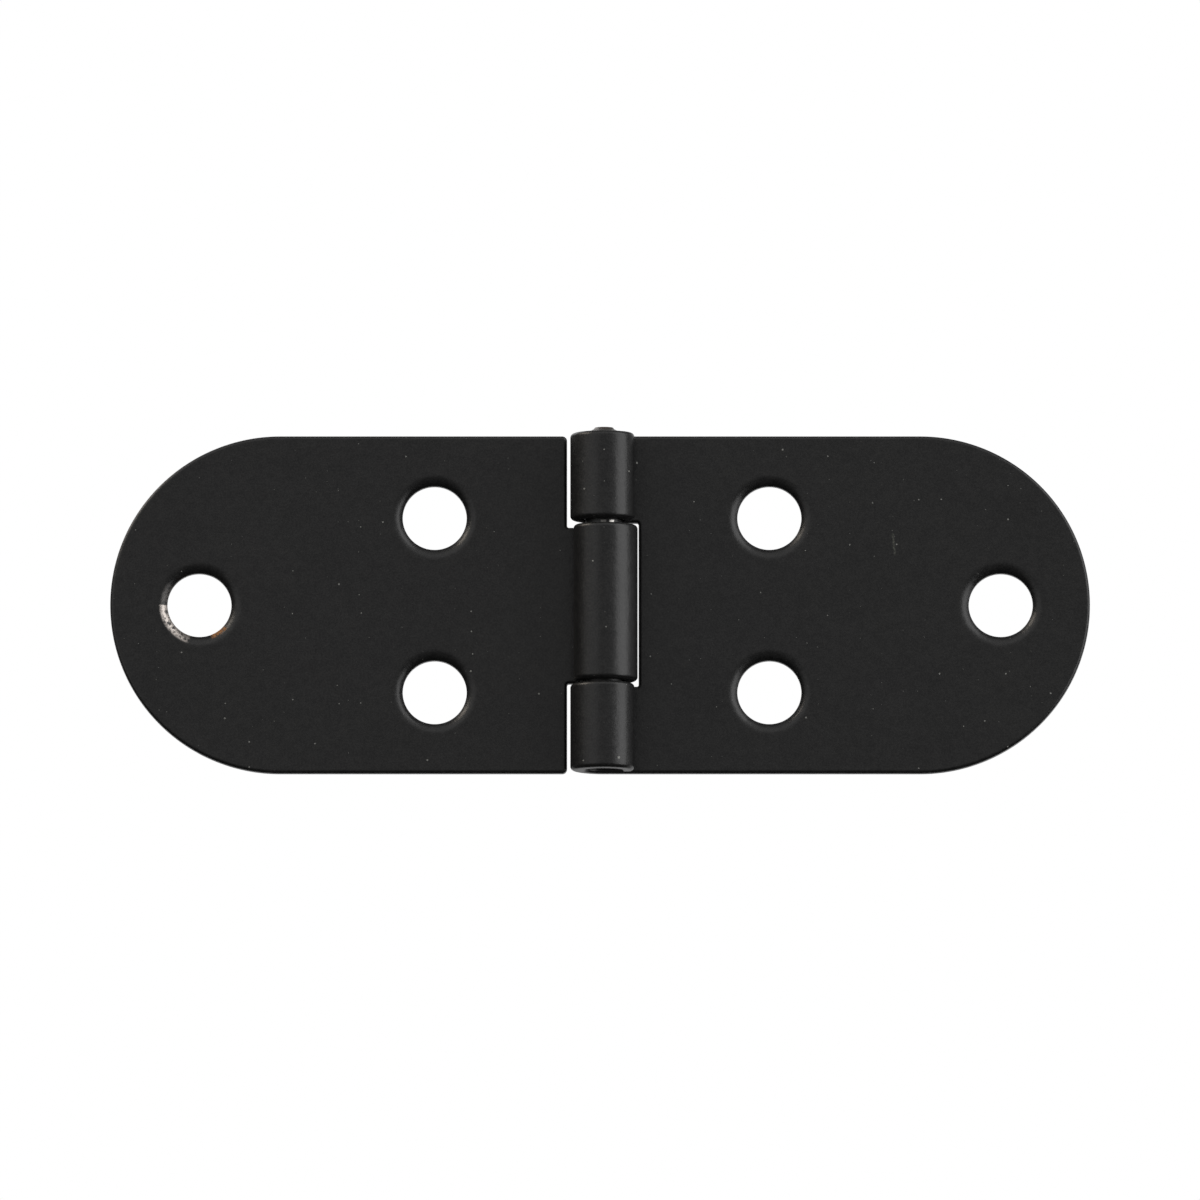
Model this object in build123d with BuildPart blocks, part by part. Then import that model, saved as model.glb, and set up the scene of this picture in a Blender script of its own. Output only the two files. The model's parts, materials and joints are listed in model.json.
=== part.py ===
"""Door hinge: two stamped steel leaves with rolled knuckles, turning on a plain wire pin.

The pin stands on Z and its axis is X = Y = 0, half way up the leaves. The leaves lie open and
flat: one reaches to -X, the other to +X. Their backs face +Y and are screwed down, and the
countersunk faces and the barrel face -Y. All sizes are in millimetres.
"""

from build123d import *
import os
from math import asin, cos, degrees, radians, sin

# ---- Driving dimensions ------------------------------------------------------------------------

# Stamped sheet
sheet = 1.5                     # thickness of the steel
leaf_height = 35.0              # along the pin
left_reach = 50.9               # from the pin's axis to the tip of each leaf's round end
right_reach = 50.1
corner_radius = 0.5             # free corners beside the barrel
notch_radius = 0.2              # inner corners where a knuckle leaves its leaf

# Pin
pin_diameter = 3.8
pin_rise = 0.6                  # the pin sits this much higher than the leaves
pin_crop_width = 0.95           # cropped end: how far in and how far down the edge is broken
pin_crop_depth = 0.5
pin_shear_angle = 12.0          # the shear left the upper end a little aslant

# Barrel: two outer knuckles on the right leaf, one between them on the left leaf
outer_knuckle = 9.0             # length of each outer knuckle
gap_above = 0.5                 # end play above and below the middle knuckle
gap_below = 0.3
running_clearance = 0.07        # radial, between the pin and the rolled knuckles
side_clearance = 0.33           # between the outer knuckles and the left leaf's straight edge
notch_clearance = 0.10          # between the middle knuckle and the right leaf's notch
strap_end_thickness = 1.05      # the rolled end of each knuckle is squeezed thinner than the sheet
strap_taper_angle = 85.0        # over this much of the roll
seam_gap = 0.7                  # between that end and the face of its leaf

# Screw holes, three in each leaf: two beside the barrel and one near the round end
hole_diameter = 6.6
countersink_diameter = 7.8
countersink_angle = 90.0
hole_pitch = 18.1               # between the two holes beside the barrel
left_inner_row = 17.45          # from the pin's axis to those two holes
right_inner_row = 17.05
tip_margin = 9.2                # from the outer hole to the tip of the round end

# ---- Sizes that follow -------------------------------------------------------------------------

bore_radius = pin_diameter / 2 + running_clearance
barrel_radius = bore_radius + sheet
strap_end_radius = bore_radius + strap_end_thickness
seam_angle = degrees(asin((bore_radius - seam_gap) / strap_end_radius))
curl_angle = 270 + seam_angle
left_inner_edge = barrel_radius + side_clearance
right_inner_edge = barrel_radius + notch_clearance

half_height = leaf_height / 2
middle_top = half_height - outer_knuckle - gap_above
middle_bottom = -half_height + outer_knuckle + gap_below
outer_knuckles = [
    (half_height - outer_knuckle, half_height),
    (-half_height, -half_height + outer_knuckle),
]
middle_knuckle = [(middle_bottom, middle_top)]

back_plane = Plane.XZ.offset(-barrel_radius)     # backs of both leaves, level with the barrel's back
front_plane = Plane.XZ.offset(-bore_radius)      # their countersunk faces


def leaf_blank(reach, knuckles, inner_edge):
    """Outline of the flat stamping: straight beside the pin, a half circle at the far end,
    and a strap as wide as each knuckle that runs on to the line of the pin."""
    with BuildSketch() as blank:
        with Locations((inner_edge, 0)):
            Rectangle(reach - half_height - inner_edge, leaf_height, align=(Align.MIN, Align.CENTER))
        with Locations((reach - half_height, 0)):
            Circle(half_height)
        for low, high in knuckles:
            with Locations((0, low)):
                Rectangle(inner_edge, high - low, align=(Align.MIN, Align.MIN))
        # Round the corners on the straight edge: larger where the leaf ends, small beside a strap
        corners = blank.vertices().filter_by(lambda v: abs(v.X - inner_edge) < corner_radius)
        free_corners = corners.filter_by(lambda v: abs(v.Y) > half_height - corner_radius)
        strap_corners = corners.filter_by(lambda v: abs(v.Y) < half_height - corner_radius)
        if free_corners:
            fillet(free_corners, corner_radius)
        fillet(strap_corners, notch_radius)
    return blank.sketch


def curl_section():
    """Section of a knuckle: the sheet rolled round the pin from the leaf's back until its thinner
    end comes near the leaf's face."""
    end_angle = radians(90 + curl_angle)
    end = (strap_end_radius * cos(end_angle), strap_end_radius * sin(end_angle))
    with BuildSketch() as section:
        with BuildLine():
            outside = CenterArc((0, 0), barrel_radius, 90, curl_angle - strap_taper_angle)
            taper = TangentArc(outside @ 1, end, tangent=outside % 1)
            inside = CenterArc((0, 0), bore_radius, 90, curl_angle)
            Line(outside @ 0, inside @ 0)
            Line(taper @ 1, inside @ 1)
        make_face()
    return section.sketch


def rolled_leaf(reach, knuckles, inner_edge, inner_row):
    """One leaf on the +X side of the pin: flat blank, rolled knuckles and countersunk holes."""
    with BuildPart() as leaf:
        with BuildSketch(back_plane):
            add(leaf_blank(reach, knuckles, inner_edge))
        extrude(amount=sheet)
        for low, high in knuckles:
            with BuildSketch(Plane.XY.offset(low)):
                add(curl_section())
            extrude(amount=high - low)
        holes = [
            (inner_row, hole_pitch / 2),
            (inner_row, -hole_pitch / 2),
            (reach - tip_margin, 0),
        ]
        with Locations(front_plane):
            with Locations(*holes):
                CounterSinkHole(
                    radius=hole_diameter / 2,
                    counter_sink_radius=countersink_diameter / 2,
                    depth=sheet,
                    counter_sink_angle=countersink_angle,
                )
    return leaf.part


# ---- Right leaf: the fixed leaf, with the upper and lower knuckles -------------------------------

with BuildPart() as right_leaf:
    add(rolled_leaf(right_reach, outer_knuckles, right_inner_edge, right_inner_row))

# ---- Left leaf: the moving leaf, with the middle knuckle -----------------------------------------

with BuildPart() as left_leaf:
    add(rolled_leaf(left_reach, middle_knuckle, left_inner_edge, left_inner_row))
    mirror(about=Plane.YZ, mode=Mode.REPLACE)

# ---- Hinge pin: cropped steel wire, as long as the leaves are high, held by the outer knuckles ----

with BuildPart() as hinge_pin:
    with BuildSketch(Plane.XY.offset(pin_rise - half_height)):
        Circle(pin_diameter / 2)
    extrude(amount=leaf_height)
    ends = hinge_pin.edges().filter_by(GeomType.CIRCLE)
    chamfer(ends.sort_by(Axis.Z)[-1], length=pin_crop_depth, length2=pin_crop_width)
    # The shear's slanting bite takes the edge off one side of the upper end
    bite = Plane(origin=(-pin_crop_width, 0, pin_rise + half_height), z_dir=(-1, 0, 0))
    split(bisect_by=bite.rotated((0, 90 - pin_shear_angle, 0)), keep=Keep.BOTTOM)

# ---- Write one STEP file per piece --------------------------------------------------------------

os.makedirs("parts", exist_ok=True)
for name, piece in [
    ("right_leaf", right_leaf),
    ("left_leaf", left_leaf),
    ("hinge_pin", hinge_pin),
]:
    piece.part.label = name
    export_step(piece.part, f"parts/{name}.step")
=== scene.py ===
"""Door hinge lying open: two stamped, black-coated steel leaves that turn on a plain wire pin."""
import json
from math import cos, pi, radians, sin, tan

import bpy
import numpy as np
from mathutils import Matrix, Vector
from mathutils.geometry import delaunay_2d_cdt


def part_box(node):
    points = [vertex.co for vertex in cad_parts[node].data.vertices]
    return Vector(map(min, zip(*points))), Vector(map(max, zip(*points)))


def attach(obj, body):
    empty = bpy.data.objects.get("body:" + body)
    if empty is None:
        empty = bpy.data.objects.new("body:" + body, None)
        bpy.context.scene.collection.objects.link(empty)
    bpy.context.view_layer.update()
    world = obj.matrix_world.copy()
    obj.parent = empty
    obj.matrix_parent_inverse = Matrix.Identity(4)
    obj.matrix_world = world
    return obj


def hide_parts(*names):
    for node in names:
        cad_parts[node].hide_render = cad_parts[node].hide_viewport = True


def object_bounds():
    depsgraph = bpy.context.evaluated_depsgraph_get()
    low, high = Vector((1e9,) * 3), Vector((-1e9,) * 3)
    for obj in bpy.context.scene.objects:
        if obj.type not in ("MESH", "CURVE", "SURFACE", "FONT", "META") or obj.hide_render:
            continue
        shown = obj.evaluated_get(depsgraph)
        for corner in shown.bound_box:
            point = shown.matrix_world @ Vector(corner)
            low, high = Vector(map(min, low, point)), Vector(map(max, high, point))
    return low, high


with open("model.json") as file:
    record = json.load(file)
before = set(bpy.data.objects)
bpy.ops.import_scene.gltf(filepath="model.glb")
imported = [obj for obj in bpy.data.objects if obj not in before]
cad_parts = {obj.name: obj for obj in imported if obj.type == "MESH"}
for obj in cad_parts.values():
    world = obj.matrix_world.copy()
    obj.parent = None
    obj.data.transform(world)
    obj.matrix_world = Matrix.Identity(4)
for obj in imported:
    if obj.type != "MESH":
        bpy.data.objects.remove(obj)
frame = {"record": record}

cad_low, cad_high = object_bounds()

# ---- Fixed leaf ---------------------------------------------------------------------------------
# One stamping of 1.5 mm sheet steel with a half-round end. Two straps of it are rolled round the pin
# into the upper and the lower knuckle, three screw holes are countersunk from the front, and the
# whole leaf carries a thin matt black baked coat that softens every edge.

mm = 0.001
sheet = 1.5 * mm
front_rounding = 0.34 * mm          # the coated edges, on the countersunk side
back_rounding = 0.40 * mm           # and on the back, which becomes the outside of the knuckles
flat_margin = 0.05 * mm             # a narrow flat strip beside each rounding keeps the faces flat
outer_knuckle = 9.0 * mm
notch_clearance = 0.10 * mm         # beside the middle knuckle; the real hinge has about 0.33 mm here
notch_radius = 0.2 * mm
strap_corner = 0.5 * mm
strap_end_thickness = 1.05 * mm     # the rolled end of each knuckle is squeezed thinner
strap_taper = radians(85)           # over this much of the roll
seam_gap = 0.7 * mm                 # between that end and the face of its leaf
edge_bulge = 0.03 * mm              # rolling pushes the strap's edges out inside and draws them in outside
bulge_turn = radians(60)            # and does so fully after this much of the roll
strap_margin = 0.1 * mm             # what lies this close beside a strap still belongs to it
countersink_depth = 0.6 * mm

arc_step = 0.45 * mm                # spacing of the mesh round a corner
corner_steps = 6                    # and the fewest steps that a corner gets
edge_step = 1.5 * mm                # up the straight edges
leaf_step = 1.6 * mm                # along the leaf
roll_step = radians(3)              # and round the pin
corner_gap = 0.04 * mm              # no point of a straight lies closer to a corner's arc
same_point = 0.01 * mm              # points closer than this are one point
same_line = 1e-9

mounts = {m["name"]: m for m in frame["record"]["mounts"]}
leaf_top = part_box("right_leaf")[1].z
barrel_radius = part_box("right_leaf")[1].y
bore_radius = barrel_radius - sheet
neutral_radius = bore_radius + sheet / 2
curl_angle = 1.5 * pi + np.arcsin((bore_radius - seam_gap) / (bore_radius + strap_end_thickness))
strap_end = -curl_angle * neutral_radius
round_end = leaf_top                # the end is a half circle as high as the leaf


def rounded_outline(corners, radii, stations):
    """Closed outline through the corners, anticlockwise, with the outward normal at each point.
    Each corner becomes an arc: it starts radius * tan(turn / 2) before the corner and its centre is
    one radius to the inner side of the turn. Straights along u carry a point at each station."""
    corners = np.array(corners)
    ahead = np.roll(corners, -1, axis=0) - corners
    ahead /= np.linalg.norm(ahead, axis=1)[:, None]
    arrive = np.roll(ahead, 1, axis=0)
    turn = np.arctan2(arrive[:, 0] * ahead[:, 1] - arrive[:, 1] * ahead[:, 0], (arrive * ahead).sum(1))
    normal = np.stack([arrive[:, 1], -arrive[:, 0]], axis=1)
    radii = np.array(radii)
    reach = radii * np.tan(np.abs(turn) / 2)
    start = corners - arrive * reach[:, None]
    end = corners + ahead * reach[:, None]
    centre = start - normal * (radii * np.sign(turn))[:, None]
    points, normals = [], []
    for i in range(len(corners)):
        steps = max(corner_steps, int(np.ceil(abs(turn[i]) * radii[i] / arc_step)))
        swing = np.linspace(0, turn[i], steps + 1)
        out = np.stack([
            normal[i, 0] * np.cos(swing) - normal[i, 1] * np.sin(swing),
            normal[i, 0] * np.sin(swing) + normal[i, 1] * np.cos(swing),
        ], axis=1)
        points.append(centre[i] + out * radii[i] * np.sign(turn[i]))
        normals.append(out)
        along = ahead[i] @ (start[(i + 1) % len(corners)] - end[i])
        runs_along_u = abs(ahead[i, 0]) > 0.5
        if runs_along_u:
            distance = (stations - end[i, 0]) * ahead[i, 0]
        else:
            distance = np.arange(edge_step, along, edge_step)
        distance = np.sort(distance[(distance > corner_gap) & (distance < along - corner_gap)])
        points.append(end[i] + distance[:, None] * ahead[i])
        normals.append(np.repeat(out[-1:], len(distance), axis=0))
    points, normals = np.concatenate(points), np.concatenate(normals)
    apart = np.linalg.norm(points - np.roll(points, 1, axis=0), axis=1) > same_point
    return points[apart], normals[apart]


def edge_profile():
    """Section across the leaf's edge as (inset, depth) pairs: flat strip, quarter round, sheared
    wall, quarter round, flat strip, from the front face to the back. A quarter round is
    radius * (1 - sin t) in from the edge and radius * (1 - cos t) deep."""
    t = np.linspace(0, pi / 2, 8)
    inset = np.concatenate([
        [front_rounding + flat_margin],
        front_rounding * (1 - np.sin(t)),
        back_rounding * (1 - np.sin(t[::-1])),
        [back_rounding + flat_margin],
    ])
    depth = np.concatenate([
        [0],
        front_rounding * (1 - np.cos(t)),
        sheet - back_rounding * (1 - np.cos(t[::-1])),
        [sheet],
    ])
    return inset, depth


def countersink_profile(hole_radius, sink_radius, rim=1.35 * mm, throat=0.12 * mm, back=0.10 * mm):
    """Section of a screw hole as (radius, depth) pairs: flat strip, rounded rim, 45 degree cone,
    rounded throat, straight wall, broken back edge, flat strip. The rim's and the throat's arcs
    turn through 45 degrees, so each starts radius * tan(45 / 2 degrees) beside its corner."""
    t = np.linspace(0, pi / 4, 10)
    q = np.linspace(0, pi / 2, 5)
    lead = rim * tan(pi / 8)
    cone_depth = sink_radius - hole_radius
    throat_end = cone_depth + throat * tan(pi / 8)
    radius = np.concatenate([
        [sink_radius + lead + flat_margin],
        sink_radius + lead - rim * np.sin(t),
        hole_radius + throat * (1 - np.cos(t[::-1])),
        hole_radius + back * (1 - np.cos(q)),
        [hole_radius + back + flat_margin],
    ])
    depth = np.concatenate([
        [0],
        rim * (1 - np.cos(t)),
        throat_end - throat * np.sin(t[::-1]),
        sheet - back + back * np.sin(q),
        [sheet],
    ])
    return radius, depth


def smooth(x):
    """A step from 0 to 1 with level ends: x * x * (3 - 2 * x), with x held between 0 and 1."""
    x = np.clip(x, 0, 1)
    return x * x * (3 - 2 * x)


def roll(blank, depth, side, knuckles):
    """Where the flat blank ends up once it is rolled. blank holds (u, w): u runs from the pin's line
    out along the leaf and w up the pin. Past that line the sheet follows circles round the pin:
    angle = -u / neutral radius, radius = bore radius + depth, and the depth shrinks smoothly
    towards the strap's end. Near a strap's edges w shifts outwards by bulge * (1 - 2 * depth / sheet),
    fading over one thickness of sheet. side is +1 or -1 for the leaf's side."""
    u, w = blank[:, 0], blank[:, 1]
    angle = np.clip(-u, 0, None) / neutral_radius
    near_end = smooth(1 - (curl_angle - angle) / strap_taper)
    thin = 1 - (1 - strap_end_thickness / sheet) * near_end
    bulge = smooth(angle / bulge_turn) * edge_bulge * (1 - 2 * depth / sheet)
    shift = np.zeros(len(w))
    for low, high in knuckles:
        inside = (w > low - strap_margin) & (w < high + strap_margin)
        shift += inside * (np.exp(-(high - w) / sheet) - np.exp(-(w - low) / sheet))
    radius = bore_radius + depth * thin
    x = np.where(u < 0, -radius * np.sin(angle), u)
    return np.stack([side * x, radius * np.cos(angle), w + shift * bulge], axis=1)


def band(first, rows, columns):
    """Quads between the rows of a grid whose rows close on themselves. first is the number of the
    grid's first point."""
    row, column = np.meshgrid(np.arange(rows - 1), np.arange(columns), indexing="ij")
    here = first + row * columns + column
    beside = first + row * columns + (column + 1) % columns
    return np.stack([here, beside, beside + columns, here + columns], -1).reshape(-1, 4)


def closed_loop(first, count):
    """Pairs of point numbers that go once round a ring of points."""
    ring = np.arange(count)
    return first + np.stack([ring, (ring + 1) % count], 1)


def between(points, loops, ties, holes):
    """Triangles that fill the flat blank between its outline and its holes, tied straight across the
    straps at each station so that they roll without kinks. Gives rows of point numbers. A triangle
    with all its corners on one hole's ring lies inside that hole and is left out."""
    fill_inside = 1
    tolerance = 1e-7
    just_past = 1.0001
    made = delaunay_2d_cdt([Vector(p) for p in (points / mm).tolist()],
                           np.concatenate([loops, ties]).tolist(), [], fill_inside, tolerance)
    assert len(made[0]) == len(points)
    triangles = np.array(made[2])
    corner = points[triangles]
    clear = np.ones(len(triangles), bool)
    for centre, radius in holes:
        clear &= np.linalg.norm(corner - centre, axis=2).max(axis=1) > radius * just_past
    triangles, corner = triangles[clear], corner[clear]
    a, b = corner[:, 1] - corner[:, 0], corner[:, 2] - corner[:, 0]
    area = a[:, 0] * b[:, 1] - a[:, 1] * b[:, 0]
    triangles[area < 0] = triangles[area < 0][:, ::-1]
    return triangles


def steel_mesh(name, points, faces):
    """A smooth-shaded mesh object from an array of points and a list of face arrays."""
    mesh = bpy.data.meshes.new(name)
    mesh.from_pydata(points.tolist(), [], [f for group in faces for f in group.tolist()])
    mesh.validate()
    mesh.shade_smooth()
    piece = bpy.data.objects.new(name, mesh)
    bpy.context.scene.collection.objects.link(piece)
    return piece


def stamped_leaf(name, node, side, inner_edge, knuckles, corners, radii, holes):
    """One leaf: the edge profile is carried round the blank's outline and a countersink round each
    hole, both faces are filled between them, and the whole blank is rolled. inner_edge is where the
    straps leave the leaf, and knuckles are the lower and upper edge of each strap."""
    hole_points = 96
    decimals = 8
    reach = max(abs(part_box(node)[0].x), abs(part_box(node)[1].x))
    stations = np.concatenate([
        -np.arange(0, -strap_end, roll_step * neutral_radius),
        np.arange(1.0 * mm, reach, leaf_step),
    ])
    outline, normal = rounded_outline(corners, radii, stations)
    inset, depth = edge_profile()
    count = len(outline)
    to_back = count * (len(inset) - 1)
    blank = (outline[None] - normal[None] * inset[:, None, None]).reshape(-1, 2)
    depths = np.repeat(depth, count)
    faces = [band(0, len(inset), count)[:, ::-1]]
    loops_front = [closed_loop(0, count)]
    loops_back = [closed_loop(to_back, count)]

    ties = []
    on_strap = outline[:, 0] < inner_edge
    for low, high in knuckles:
        below = np.flatnonzero((np.abs(outline[:, 1] - low) < same_line) & on_strap)
        above = np.flatnonzero((np.abs(outline[:, 1] - high) < same_line) & on_strap)
        _, i, j = np.intersect1d(
            np.round(outline[below, 0], decimals), np.round(outline[above, 0], decimals),
            return_indices=True)
        ties.append(np.stack([below[i], above[j]], 1))
    ties = np.concatenate(ties)

    rims_front, rims_back = [], []
    turns = np.linspace(0, 2 * pi, hole_points, endpoint=False)
    circle = np.stack([np.cos(turns), np.sin(turns)], 1)
    for centre, hole_radius, sink_radius in holes:
        radius, hole_depth = countersink_profile(hole_radius, sink_radius)
        first = len(blank)
        rings = np.array(centre) + radius[:, None, None] * circle[None]
        blank = np.concatenate([blank, rings.reshape(-1, 2)])
        depths = np.concatenate([depths, np.repeat(hole_depth, hole_points)])
        faces.append(band(first, len(radius), hole_points))
        loops_front.append(closed_loop(first, hole_points))
        loops_back.append(closed_loop(first + hole_points * (len(radius) - 1), hole_points))
        rims_front.append((centre, radius[0]))
        rims_back.append((centre, radius[-1]))

    for loops, shift, rims, flip in (
        (loops_front, 0, rims_front, False),
        (loops_back, to_back, rims_back, True),
    ):
        loops = np.concatenate(loops)
        used = np.unique(loops)
        number = np.full(len(blank), -1)
        number[used] = np.arange(len(used))
        triangles = used[between(blank[used], number[loops], number[ties + shift], rims)]
        faces.append(triangles[:, ::-1] if flip else triangles)
    if side < 0:
        faces = [f[:, ::-1] for f in faces]
    return steel_mesh(name, roll(blank, depths, side, knuckles), faces)


def screw_holes(pattern_name, outer_name):
    """Centre on the blank, wall radius and countersink radius of a leaf's three holes, from its mounts."""
    pattern, outer = mounts[pattern_name], mounts[outer_name]
    half_pitch = pattern["dims"]["spacing_y_mm"] / 2 * mm
    wall = pattern["dims"]["hole_r_mm"] * mm
    sink = wall + countersink_depth
    row = abs(pattern["pos_m"][0])
    return [
        ((row, half_pitch), wall, sink),
        ((row, -half_pitch), wall, sink),
        ((abs(outer["pos_m"][0]), outer["pos_m"][2]), wall, sink),
    ]


right_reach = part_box("right_leaf")[1].x
knuckle_in = leaf_top - outer_knuckle
notch_edge = barrel_radius + notch_clearance
right_leaf = stamped_leaf(
    "right_leaf_coated", "right_leaf", +1, notch_edge,
    [(knuckle_in, leaf_top), (-leaf_top, -knuckle_in)],
    [
        (right_reach, -leaf_top), (right_reach, leaf_top),
        (strap_end, leaf_top), (strap_end, knuckle_in), (notch_edge, knuckle_in),
        (notch_edge, -knuckle_in), (strap_end, -knuckle_in), (strap_end, -leaf_top),
    ],
    [
        round_end, round_end,
        strap_corner, strap_corner, notch_radius,
        notch_radius, strap_corner, strap_corner,
    ],
    screw_holes("right_leaf_screws", "right_leaf_outer_screw"),
)


def new_material(name):
    """A material with its node tree, shader and Object coordinates, whole and split into x, y and z."""
    material = bpy.data.materials.new(name)
    material.use_nodes = True
    tree = material.node_tree
    place = tree.nodes.new("ShaderNodeTexCoord").outputs["Object"]
    split = tree.nodes.new("ShaderNodeSeparateXYZ")
    tree.links.new(place, split.inputs[0])
    return material, tree, tree.nodes["Principled BSDF"], place, split.outputs


def calc(tree, operation, *values):
    """A maths node on sockets or plain numbers."""
    node = tree.nodes.new("ShaderNodeMath")
    node.operation = operation
    for socket, value in zip(node.inputs, values):
        if isinstance(value, (int, float)):
            socket.default_value = value
        else:
            tree.links.new(value, socket)
    return node.outputs[0]


def product(tree, first, *others):
    """All the values multiplied together."""
    for value in others:
        first = calc(tree, "MULTIPLY", first, value)
    return first


def ramp(tree, value, start, stop, at_start=0.0, at_stop=1.0):
    """A smooth step of a value, clamped at both ends."""
    node = tree.nodes.new("ShaderNodeMapRange")
    node.interpolation_type = "SMOOTHSTEP"
    tree.links.new(value, node.inputs["Value"])
    node.inputs["From Min"].default_value = start
    node.inputs["From Max"].default_value = stop
    node.inputs["To Min"].default_value = at_start
    node.inputs["To Max"].default_value = at_stop
    return node.outputs[0]


def near(tree, value, centre, reach, core):
    """1 where a value is within core of the centre, fading to 0 where it is reach away."""
    return ramp(tree, calc(tree, "ABSOLUTE", calc(tree, "SUBTRACT", value, centre)), reach, core)


def grain(tree, place, size, detail=2.0):
    """Noise from 0 to 1 whose lumps are about this size in metres."""
    node = tree.nodes.new("ShaderNodeTexNoise")
    node.inputs["Scale"].default_value = 1 / size
    node.inputs["Detail"].default_value = detail
    tree.links.new(place, node.inputs["Vector"])
    return node.outputs["Fac"]


def blend(tree, amount, first, second):
    """Mix of two colours, each a socket or a plain colour."""
    node = tree.nodes.new("ShaderNodeMix")
    node.data_type = "RGBA"
    tree.links.new(amount, node.inputs["Factor"])
    for socket, colour in ((node.inputs["A"], first), (node.inputs["B"], second)):
        if isinstance(colour, tuple):
            socket.default_value = (*colour, 1)
        else:
            tree.links.new(colour, socket)
    return node.outputs["Result"]


def specks(tree, xyz, spacing, share, radius):
    """Small round specks scattered over x and z, a given share of one per square of the spacing.
    Each is between 0.35 and 1.35 times the radius."""
    flat = tree.nodes.new("ShaderNodeCombineXYZ")
    tree.links.new(xyz["X"], flat.inputs["X"])
    tree.links.new(xyz["Z"], flat.inputs["Y"])
    cells = tree.nodes.new("ShaderNodeTexVoronoi")
    cells.voronoi_dimensions = "2D"
    cells.inputs["Scale"].default_value = 1 / spacing
    tree.links.new(flat.outputs[0], cells.inputs["Vector"])
    pick = tree.nodes.new("ShaderNodeSeparateColor")
    tree.links.new(cells.outputs["Color"], pick.inputs[0])
    chosen = calc(tree, "LESS_THAN", pick.outputs["Red"], share)
    size = calc(tree, "MULTIPLY_ADD", pick.outputs["Green"], radius / spacing, 0.35 * radius / spacing)
    edge = calc(tree, "DIVIDE", cells.outputs["Distance"], size)
    return product(tree, chosen, ramp(tree, edge, 1.0, 0.6))


def length(tree, across, along):
    """Distance from two offsets at right angles: the root of the sum of their squares."""
    squares = calc(tree, "ADD", calc(tree, "POWER", across, 2), calc(tree, "POWER", along, 2))
    return calc(tree, "SQRT", squares)


def around(tree, xyz, centre_x, centre_z):
    """Distance from a hole's axis, and the angle round it in degrees, 0 at the right and 90 at the top."""
    dx = calc(tree, "SUBTRACT", xyz["X"], centre_x)
    dz = calc(tree, "SUBTRACT", xyz["Z"], centre_z)
    return length(tree, dx, dz), calc(tree, "DEGREES", calc(tree, "ARCTAN2", dz, dx))


def sector(tree, reach, angle, inner, outer, start, stop, soft):
    """Patch between two radii and two angles. Its sides fade over so many degrees, and its inner and
    outer edges over 0.1 and 0.25 mm."""
    return product(
        tree,
        ramp(tree, reach, inner - 0.1 * mm, inner), ramp(tree, reach, outer, outer - 0.25 * mm),
        ramp(tree, angle, start - soft, start), ramp(tree, angle, stop + soft, stop),
    )


# The coat's two ends of colour: darkest in the hollows and lightest on the crests of its fine relief,
# painted shade and sheen
shaded_hollow_coat = (0.0, 0.0, 0.0004)
sheened_crest_coat = (0.0145, 0.0143, 0.0140)
dust_grey = (0.30, 0.30, 0.28)
scratch_grey = (0.14, 0.145, 0.12)
bare_steel = (0.44, 0.40, 0.37)
rust_brown = (0.32, 0.14, 0.045)

coat, tree, shader, place, xyz = new_material("black_baked_coat")
blotch = grain(tree, place, 4.5 * mm, 3.0)
fine = grain(tree, place, 0.20 * mm, 3.0)
peel = grain(tree, place, 0.75 * mm, 1.0)
front_side = ramp(tree, xyz["Y"], 2.2 * mm, 2.1 * mm)       # the front face and what stands in front of it
not_back = ramp(tree, xyz["Y"], 3.3 * mm, 3.1 * mm)         # everything but the back face

# Dust in two sizes, and three nicks by the barrel
nicks = ((1.53, -16.5, 0.17), (3.4, 14.7, 0.13), (-1.15, 3.9, 0.10))      # x, z and radius in mm
dust = product(tree, specks(tree, xyz, 2.3 * mm, 0.13, 0.085 * mm), 0.75)
dust = calc(tree, "MAXIMUM", dust, product(tree, specks(tree, xyz, 1.1 * mm, 0.10, 0.045 * mm), 0.4))
for nick_x, nick_z, nick_radius in nicks:
    nick_reach = around(tree, xyz, nick_x * mm, nick_z * mm)[0]
    nick = ramp(tree, nick_reach, nick_radius * mm, nick_radius * mm / 2)
    dust = calc(tree, "MAXIMUM", dust, product(tree, nick, front_side))

# One short scratch on the right leaf, leaning a little, and below it a faint rubbed ring
scratch_x = 30.5 * mm
scratch_z = 6.3 * mm
ring_z = 1.9 * mm
lean = calc(tree, "MULTIPLY_ADD", xyz["Z"], 0.1, xyz["X"])
scratch = product(
    tree,
    near(tree, lean, scratch_x, 0.16 * mm, 0.04 * mm),
    near(tree, xyz["Z"], scratch_z, 1.2 * mm, 0.9 * mm),
    ramp(tree, fine, 0.42, 0.62, 0.15, 0.6), not_back,
)
ring_reach, ring_angle = around(tree, xyz, scratch_x, ring_z)
rubbed = sector(tree, ring_reach, ring_angle, 2.8 * mm, 3.9 * mm, -125, 5, 30)

# The left leaf's outer hole, where the coat is worn to bare steel on the lower left, more thinly
# above that, and there is a little rust on the lower right
worn_hole = mounts["left_leaf_outer_screw"]["pos_m"]
wall_side = 3.2 * mm
hole_reach, hole_angle = around(tree, xyz, worn_hole[0], worn_hole[2])
worn = calc(
    tree, "MAXIMUM",
    sector(tree, hole_reach, hole_angle, wall_side, 4.25 * mm, -178, -112, 8),
    product(tree, sector(tree, hole_reach, hole_angle, wall_side, 4.1 * mm, 150, 181, 8), 0.15),
)
worn = product(tree, worn, ramp(tree, grain(tree, place, 0.35 * mm, 3.0), 0.32, 0.54), not_back)
rust = product(
    tree, sector(tree, hole_reach, hole_angle, wall_side, 3.85 * mm, -66, -44, 6),
    ramp(tree, grain(tree, place, 0.3 * mm, 2.0), 0.35, 0.5), not_back,
)

# Painted shade and sheen: the grain and peel that the bump raises also darken the colour in their hollows
# and lighten it on their crests, over a slow random blotch of tone
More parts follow.
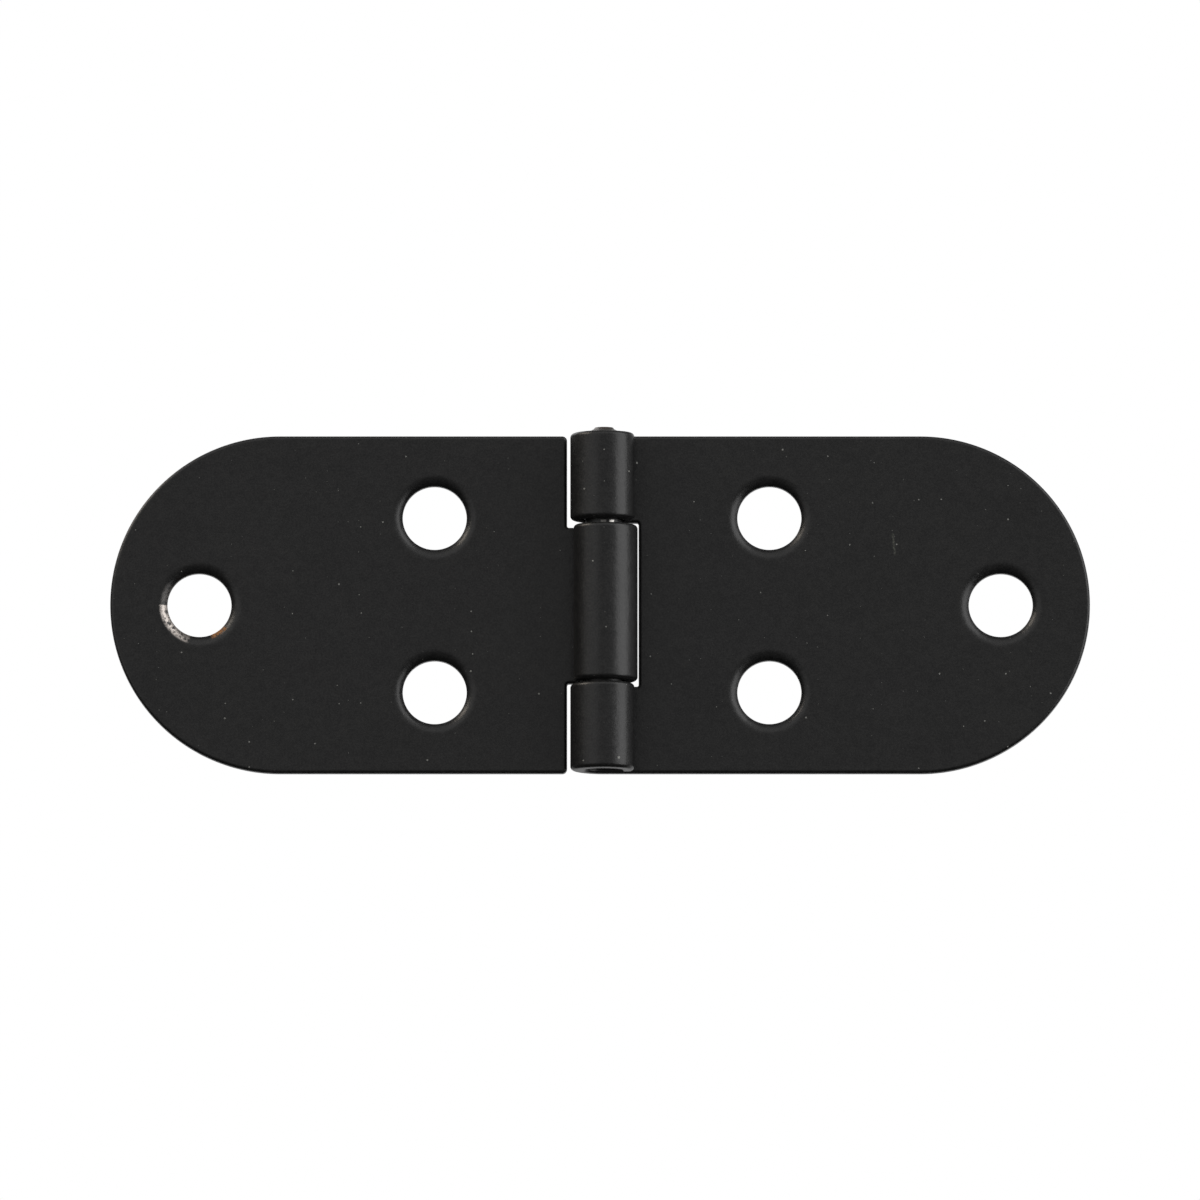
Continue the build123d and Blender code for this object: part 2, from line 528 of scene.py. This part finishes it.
tone_and_relief_shade = calc(tree, "MULTIPLY_ADD", blotch, 0.2, ramp(tree, fine, 0.36, 0.64, 0.0, 0.55))
tone_and_relief_shade = calc(tree, "ADD", tone_and_relief_shade, ramp(tree, peel, 0.30, 0.70, 0.0, 0.25))
colour = blend(tree, tone_and_relief_shade, shaded_hollow_coat, sheened_crest_coat)
colour = blend(tree, dust, colour, dust_grey)
colour = blend(tree, scratch, colour, scratch_grey)
colour = blend(tree, worn, colour, bare_steel)
colour = blend(tree, rust, colour, rust_brown)
tree.links.new(colour, shader.inputs["Base Color"])
tree.links.new(worn, shader.inputs["Metallic"])

# The coat is satin, duller in dust and rust, and dullest on the ends of the knuckles that face each
# other across the gaps
gap_level = knuckle_in - 0.25 * mm
in_gap = near(tree, calc(tree, "ABSOLUTE", xyz["Z"]), gap_level, 0.40 * mm, 0.30 * mm)
dull = product(tree, in_gap, ramp(tree, length(tree, xyz["X"], xyz["Y"]), 3.40 * mm, 3.2 * mm))
rough = calc(tree, "MULTIPLY_ADD", blotch, 0.10, 0.29)
rough = calc(tree, "MULTIPLY_ADD", rubbed, 0.035, rough)
rough = calc(tree, "MULTIPLY_ADD", calc(tree, "MAXIMUM", dust, rust), 0.4, rough)
rough = calc(tree, "MULTIPLY_ADD", dull, 0.6, rough)
tree.links.new(rough, shader.inputs["Roughness"])

relief = calc(tree, "MULTIPLY_ADD", peel, 2.0, fine)
relief = calc(tree, "SUBTRACT", relief, product(tree, worn, 1.2))
bump = tree.nodes.new("ShaderNodeBump")
bump.inputs["Strength"].default_value = 1.0
bump.inputs["Distance"].default_value = 0.013 * mm
tree.links.new(relief, bump.inputs["Height"])
tree.links.new(bump.outputs["Normal"], shader.inputs["Normal"])

right_leaf.data.materials.append(coat)
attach(right_leaf, "fixed_leaf")
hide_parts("right_leaf")

# ---- Moving leaf --------------------------------------------------------------------------------
# The same sheet stamped and coated in the same way, the other way round. Its one strap is rolled into
# the middle knuckle, which turns on the pin between the other two with a little end play.

gap_above_middle = 0.5 * mm
gap_below_middle = 0.3 * mm
side_clearance = 0.33 * mm          # between the outer knuckles and this leaf's straight edge
free_corner = 0.5 * mm
left_reach = -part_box("left_leaf")[0].x
inner_edge = barrel_radius + side_clearance
middle_top = knuckle_in - gap_above_middle
middle_bottom = -knuckle_in + gap_below_middle
left_leaf = stamped_leaf(
    "left_leaf_coated", "left_leaf", -1, inner_edge,
    [(middle_bottom, middle_top)],
    [
        (left_reach, -leaf_top), (left_reach, leaf_top), (inner_edge, leaf_top),
        (inner_edge, middle_top), (strap_end, middle_top),
        (strap_end, middle_bottom), (inner_edge, middle_bottom), (inner_edge, -leaf_top),
    ],
    [
        round_end, round_end, free_corner,
        notch_radius, strap_corner,
        strap_corner, notch_radius, free_corner,
    ],
    screw_holes("left_leaf_screws", "left_leaf_outer_screw"),
)
left_leaf.data.materials.append(coat)
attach(left_leaf, "moving_leaf")
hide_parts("left_leaf")

# ---- Pin ----------------------------------------------------------------------------------------
# Drawn steel wire, cropped to length and driven in from above. It is coloured dark but for the sheared
# upper end and two bright patches, its lower end stays inside the lower knuckle, and the shear left the
# upper end aslant.

crop_in = 0.95 * mm                 # the upper end narrows by this much
crop_down = 0.5 * mm                # over this height
crop_power = 0.6                    # drop = height * share of the way out to this power
shear_slope = tan(radians(12))
tip_height = 1 * mm                 # the shear reached no lower than this below the top
end_break = 0.15 * mm               # the lower end's broken edge
upper_cap_radius = 0.3 * mm
lower_cap_radius = 0.8 * mm
pin_points = 72

pin_low, pin_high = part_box("hinge_pin")
pin_radius = pin_high.x
outwards = np.linspace(0, 1, 12)
pin_profile_r = np.concatenate([
    [upper_cap_radius, 2 * upper_cap_radius],
    pin_radius - crop_in + crop_in * outwards,
    [pin_radius, pin_radius],
    [pin_radius, pin_radius - end_break, lower_cap_radius],
])
pin_profile_z = np.concatenate([
    [pin_high.z, pin_high.z],
    pin_high.z - crop_down * outwards ** crop_power,
    [pin_high.z - tip_height, 0],
    [pin_low.z + end_break, pin_low.z, pin_low.z],
])

# The profile is turned round the pin's axis, then everything above the slanting cut is brought down
# to it: cut height = top - slope * distance past the crop on the left
turns = np.linspace(0, 2 * pi, pin_points, endpoint=False)
pin_x = pin_profile_r[:, None] * np.cos(turns)
pin_y = pin_profile_r[:, None] * np.sin(turns)
pin_z = np.repeat(pin_profile_z[:, None], pin_points, 1)
cut = pin_high.z - shear_slope * np.clip(-pin_x - crop_in, 0, None)
pin_z = np.where(pin_z > pin_high.z - tip_height, np.minimum(pin_z, cut), pin_z)
upper_cap = np.arange(pin_points)[None]
lower_cap = upper_cap[:, ::-1] + pin_x.size - pin_points
pin = steel_mesh(
    "hinge_pin_steel", np.stack([pin_x, pin_y, pin_z], -1).reshape(-1, 3),
    [band(0, len(pin_profile_r), pin_points)[:, ::-1], upper_cap, lower_cap],
)

wire_dark = (0.010, 0.010, 0.010)
sheared_grey = (0.15, 0.14, 0.13)
# Colour of the pin's painted highlights
glint_bright = (0.62, 0.60, 0.57)
tip_brown = (0.05, 0.028, 0.018)

wire, tree, shader, place, xyz = new_material("wire")
sheared = ramp(tree, xyz["Z"], leaf_top - 0.05 * mm, leaf_top + 0.1 * mm)

# Two bright bare-metal patches in the gap over the middle knuckle, the second one faint, set only where
# the pin's glints show: painted highlights
glint_patch = product(
    tree,
    near(tree, xyz["X"], 0.80 * mm, 0.30 * mm, 0.18 * mm),
    near(tree, xyz["Z"], 8.1 * mm, 0.32 * mm, 0.22 * mm),
)
faint_glint = product(
    tree,
    near(tree, xyz["X"], -0.05 * mm, 0.35 * mm, 0.2 * mm),
    near(tree, xyz["Z"], 8.15 * mm, 0.25 * mm, 0.15 * mm),
    0.45,
)
painted_glints = calc(tree, "MAXIMUM", glint_patch, faint_glint)
# Metal on the sheared tip and in the painted highlights
bare_tip_and_glints = calc(tree, "MAXIMUM", sheared, painted_glints)
brown = product(
    tree, ramp(tree, xyz["Z"], pin_high.z - 0.25 * mm, pin_high.z - 0.1 * mm),
    ramp(tree, grain(tree, place, 0.5 * mm), 0.35, 0.6),
)
colour = blend(tree, sheared, wire_dark, sheared_grey)
# The painted highlights in the gap
colour = blend(tree, painted_glints, colour, glint_bright)
colour = blend(tree, brown, colour, tip_brown)
tree.links.new(colour, shader.inputs["Base Color"])
tree.links.new(product(tree, bare_tip_and_glints, calc(tree, "SUBTRACT", 1.0, brown)), shader.inputs["Metallic"])
rough = calc(tree, "MULTIPLY_ADD", grain(tree, place, 0.4 * mm), 0.2, 0.22)
tree.links.new(rough, shader.inputs["Roughness"])
pin.data.materials.append(wire)
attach(pin, "fixed_leaf")
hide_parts("hinge_pin")

# ---- Floor, light and camera --------------------------------------------------------------------
# The hinge stands clear above a plain pale floor. Soft boxes light it from both sides, above and
# behind, a small warm window gives the left a glint, and the room round them is pale but dim. The
# camera looks straight at the front from a little below.

floor_z = cad_low.z - 0.13
floor_half = 9
floor_corners = [
    (-floor_half, -floor_half, floor_z), (floor_half, -floor_half, floor_z),
    (floor_half, floor_half, floor_z), (-floor_half, floor_half, floor_z),
]
floor_mesh = bpy.data.meshes.new("floor")
floor_mesh.from_pydata(floor_corners, [], [(0, 1, 2, 3)])
floor = bpy.data.objects.new("floor", floor_mesh)
bpy.context.scene.collection.objects.link(floor)
floor_paint = bpy.data.materials.new("floor_paint")
floor_paint.use_nodes = True
paint_inputs = floor_paint.node_tree.nodes["Principled BSDF"].inputs
paint_inputs["Base Color"].default_value = (0.05, 0.05, 0.05, 1)
paint_inputs["Roughness"].default_value = 0.9
paint_inputs["Emission Color"].default_value = (1, 1, 1, 1)
paint_inputs["Emission Strength"].default_value = 1.0
floor.data.materials.append(floor_paint)
floor.visible_glossy = False
floor.visible_diffuse = False


def soft_box(name, azimuth, elevation, spread, height, radiance, colour=(1.0, 1.0, 1.0)):
    """A soft box 0.6 m from the hinge and aimed at it, as wide and as high as the two angles in
    degrees. Azimuth 0 is the camera's side and 90 the right. An area light's power is pi times its
    area times its radiance."""
    distance = 0.6
    data = bpy.data.lights.new(name, "AREA")
    data.shape = "RECTANGLE"
    data.size = 2 * distance * tan(radians(spread / 2))
    data.size_y = 2 * distance * tan(radians(height / 2))
    data.energy = pi * data.size * data.size_y * radiance
    data.color = colour
    lamp = bpy.data.objects.new(name, data)
    a, e = radians(azimuth), radians(elevation)
    lamp.location = Vector((sin(a) * cos(e), -cos(a) * cos(e), sin(e))) * distance
    lamp.rotation_mode = "QUATERNION"
    lamp.rotation_quaternion = lamp.location.to_track_quat("Z", "Y")
    lamp.visible_camera = False
    bpy.context.scene.collection.objects.link(lamp)


warm = (1.0, 0.90, 0.78)
soft_box("right_soft_box", azimuth=67, elevation=14, spread=46, height=76, radiance=1.95)
soft_box("left_soft_box", azimuth=-48, elevation=10, spread=54, height=60, radiance=0.32)
soft_box("top_soft_box", azimuth=0, elevation=58, spread=70, height=56, radiance=0.42)
soft_box("back_soft_box", azimuth=215, elevation=35, spread=40, height=30, radiance=1.2)
soft_box("rear_soft_box", azimuth=140, elevation=-5, spread=50, height=60, radiance=0.38)
soft_box("window", azimuth=-80, elevation=38, spread=28, height=24, radiance=5.0, colour=warm)

# The room as the hinge sees it: darker low down, brighter behind the camera than at the sides, and a
# pale backdrop straight behind the hinge. The camera itself sees plain white.
world = bpy.data.worlds.new("studio")
bpy.context.scene.world = world
world.use_nodes = True
tree = world.node_tree
tree.nodes.clear()
direction = tree.nodes.new("ShaderNodeSeparateXYZ")
tree.links.new(tree.nodes.new("ShaderNodeTexCoord").outputs["Generated"], direction.inputs[0])
height_part = ramp(tree, direction.outputs["Z"], -0.35, 0.05, 0.34, 1.0)
front_part = ramp(tree, direction.outputs["Y"], -0.90, -0.2, 0.40, 0.17)
backdrop = ramp(tree, direction.outputs["Y"], 0.80, 0.93, 0.0, 0.50)
room = tree.nodes.new("ShaderNodeBackground")
tree.links.new(calc(tree, "MULTIPLY_ADD", height_part, front_part, backdrop), room.inputs["Strength"])
pale = tree.nodes.new("ShaderNodeBackground")
for background in (room, pale):
    background.inputs["Color"].default_value = (1, 1, 1, 1)
mix = tree.nodes.new("ShaderNodeMixShader")
tree.links.new(tree.nodes.new("ShaderNodeLightPath").outputs["Is Camera Ray"], mix.inputs["Fac"])
tree.links.new(room.outputs[0], mix.inputs[1])
tree.links.new(pale.outputs[0], mix.inputs[2])
tree.links.new(mix.outputs[0], tree.nodes.new("ShaderNodeOutputWorld").inputs[0])

view_width = 123.711 * mm
camera_elevation = radians(-7.0)
camera_distance = 0.2
aim_right = -0.41 * mm
aim_up = 0.225 * mm
camera_data = bpy.data.cameras.new("camera")
camera_data.type = "ORTHO"
camera_data.ortho_scale = view_width
camera_data.clip_start = 1 * mm
camera = bpy.data.objects.new("camera", camera_data)
bpy.context.scene.collection.objects.link(camera)
back = Vector((0, -cos(camera_elevation), sin(camera_elevation)))
up = Vector((0, sin(camera_elevation), cos(camera_elevation)))
camera.rotation_mode = "QUATERNION"
camera.rotation_quaternion = back.to_track_quat("Z", "Y")
camera.location = back * camera_distance + Vector((aim_right, 0, 0)) + up * aim_up
bpy.context.scene.camera = camera
bpy.context.scene.view_settings.view_transform = "Standard"
